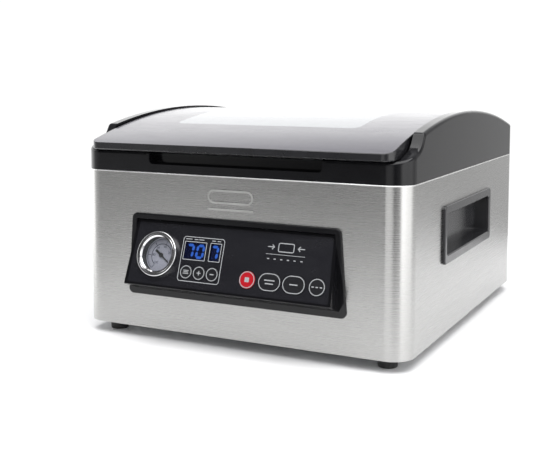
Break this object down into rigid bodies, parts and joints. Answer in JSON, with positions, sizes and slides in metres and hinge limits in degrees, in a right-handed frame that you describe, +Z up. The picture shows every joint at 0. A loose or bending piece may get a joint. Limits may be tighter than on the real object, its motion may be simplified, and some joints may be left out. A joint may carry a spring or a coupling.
{
  "type": "vacuum chamber sealer",
  "caption": "Countertop vacuum chamber sealer: brushed steel housing, arched black top with hinged lid, sloping control panel with gauge and keys.",
  "frame": {"origin": "bottom centre of the bounding box, on the surface that the feet stand on", "axes": "+Z up; the control panel faces -Y; +X is to the right of someone who faces the panel"},
  "size_m": [0.3656, 0.4356, 0.2335],
  "materials": {
    "brushed_housing": "horizontal brushed grain",
    "black_moulding": "fine satin moulding texture",
    "lid_moulding": "satin",
    "lid_grey": "glossy, printed grey from behind",
    "lid_window": "glossy, light",
    "gloss_black": "glossy printed face",
    "black_key": "satin key cap",
    "red_key": "satin red key cap",
    "display_glass": "dark blue tinted window",
    "display_black": "dark display body",
    "chrome": "polished ring",
    "dial_white": "white printed dial",
    "needle_black": "black needle",
    "clear_glass": "clear",
    "rubber": "moulded black rubber",
    "silicone": "translucent silicone",
    "chamber_steel": "drawn, satin",
    "white_plastic": "ribbed white board",
    "aluminium": "extruded",
    "seal_tape": "woven brown release tape",
    "zinc_sheet": "zinc-plated sheet",
    "zinc_steel": "zinc-plated",
    "black_sheet": "black powder coat",
    "inner_plastic": "moulded black",
    "component_plastic": "moulded",
    "circuit_board": "green solder mask",
    "brass": "turned",
    "copper": "enamelled winding",
    "iron": "laminated core",
    "cast_aluminium": "sand cast",
    "clear_hose": "vacuum hose"
  },
  "bodies": {
    "base": {"base_plate": "zinc_sheet", "board_components": "component_plastic", "board_standoffs": "brass", "chamber_pan": "chamber_steel", "display_lenses": "display_glass", "display_module_large": "display_black", "display_module_small": "display_black", "fan_frame": "inner_plastic", "filler_plate": "white_plastic", "foot_screws": "zinc_steel", "gauge_bezel": "chrome", "gauge_case": "black_sheet", "gauge_dial": "dial_white", "gauge_lens": "clear_glass", "handle_cup_left": "black_moulding", "handle_cup_right": "black_moulding", "hinge_brackets": "zinc_steel", "hinge_pins": "zinc_steel", "key_board": "circuit_board", "lid_sensor": "component_plastic", "panel_face": "gloss_black", "panel_frame": "black_moulding", "power_board": "circuit_board", "power_inlet": "inner_plastic", "pump_heads": "cast_aluminium", "pump_motor": "zinc_sheet", "pump_mounts": "rubber", "pump_plate": "zinc_sheet", "rear_cover": "black_sheet", "rear_cover_screws": "zinc_steel", "rocker_frame": "inner_plastic", "rubber_feet": "rubber", "seal_bar_lifters": "zinc_steel", "solenoid_valves": "inner_plastic", "steel_housing": "brushed_housing", "top_housing": "black_moulding", "transformer_coil": "copper", "transformer_core": "iron", "vacuum_hose": "clear_hose"},
    "lid": {"lid_frame": "lid_moulding", "lid_panel": "lid_grey", "lid_window": "lid_window", "lid_gasket": "silicone", "press_strip": "silicone", "press_strip_holder": "aluminium", "lid_magnet": "zinc_steel"},
    "seal_bar": {"seal_bar": "aluminium", "sealing_wire": "seal_tape"},
    "needle": {"gauge_needle": "needle_black"},
    "rocker": {"power_rocker": "inner_plastic"},
    "fan": {"fan_rotor": "inner_plastic"},
    "key_set": {"key_set": "black_key"},
    "key_plus": {"key_plus": "black_key"},
    "key_minus": {"key_minus": "black_key"},
    "key_cancel": {"key_cancel": "red_key"},
    "key_vacuum_seal": {"key_vacuum_seal": "black_key"},
    "key_seal": {"key_seal": "black_key"},
    "key_marinate": {"key_marinate": "black_key"}
  },
  "joints": [
    {"name": "lid_hinge", "type": "hinge", "parent": "base", "child": "lid", "pos_m": [0, 0.1958, 0.197], "axis": [-1, 0, 0], "range_deg": [0, 78]},
    {"name": "seal_bar_lift", "type": "slide", "parent": "base", "child": "seal_bar", "axis": [0, 0, 1], "range_m": [0, 0.007]},
    {"name": "needle_turn", "type": "hinge", "parent": "base", "child": "needle", "pos_m": [-0.0793, -0.20108, 0.0903], "axis": [0, -0.9421, 0.3355], "range_deg": [0, 270], "stiffness_Nm_per_rad": 0.002},
    {"name": "rocker_tilt", "type": "hinge", "parent": "base", "child": "rocker", "pos_m": [-0.052, 0.2131, 0.046], "axis": [0, 0, 1], "range_deg": [0, 23]},
    {"name": "fan_spin", "type": "hinge", "parent": "base", "child": "fan", "pos_m": [0.078, 0.2034, 0.092], "axis": [0, 1, 0], "continuous": true},
    {"name": "key_set_press", "type": "slide", "parent": "base", "child": "key_set", "axis": [0, 0.9421, -0.3355], "range_m": [0, 0.0008], "stiffness_N_per_m": 600, "springref_m": -0.0005},
    {"name": "key_plus_press", "type": "slide", "parent": "base", "child": "key_plus", "axis": [0, 0.9421, -0.3355], "range_m": [0, 0.0008], "stiffness_N_per_m": 600, "springref_m": -0.0005},
    {"name": "key_minus_press", "type": "slide", "parent": "base", "child": "key_minus", "axis": [0, 0.9421, -0.3355], "range_m": [0, 0.0008], "stiffness_N_per_m": 600, "springref_m": -0.0005},
    {"name": "key_cancel_press", "type": "slide", "parent": "base", "child": "key_cancel", "axis": [0, 0.9421, -0.3355], "range_m": [0, 0.0008], "stiffness_N_per_m": 600, "springref_m": -0.0005},
    {"name": "key_vacuum_seal_press", "type": "slide", "parent": "base", "child": "key_vacuum_seal", "axis": [0, 0.9421, -0.3355], "range_m": [0, 0.0008], "stiffness_N_per_m": 600, "springref_m": -0.0005},
    {"name": "key_seal_press", "type": "slide", "parent": "base", "child": "key_seal", "axis": [0, 0.9421, -0.3355], "range_m": [0, 0.0008], "stiffness_N_per_m": 600, "springref_m": -0.0005},
    {"name": "key_marinate_press", "type": "slide", "parent": "base", "child": "key_marinate", "axis": [0, 0.9421, -0.3355], "range_m": [0, 0.0008], "stiffness_N_per_m": 600, "springref_m": -0.0005}
  ]
}
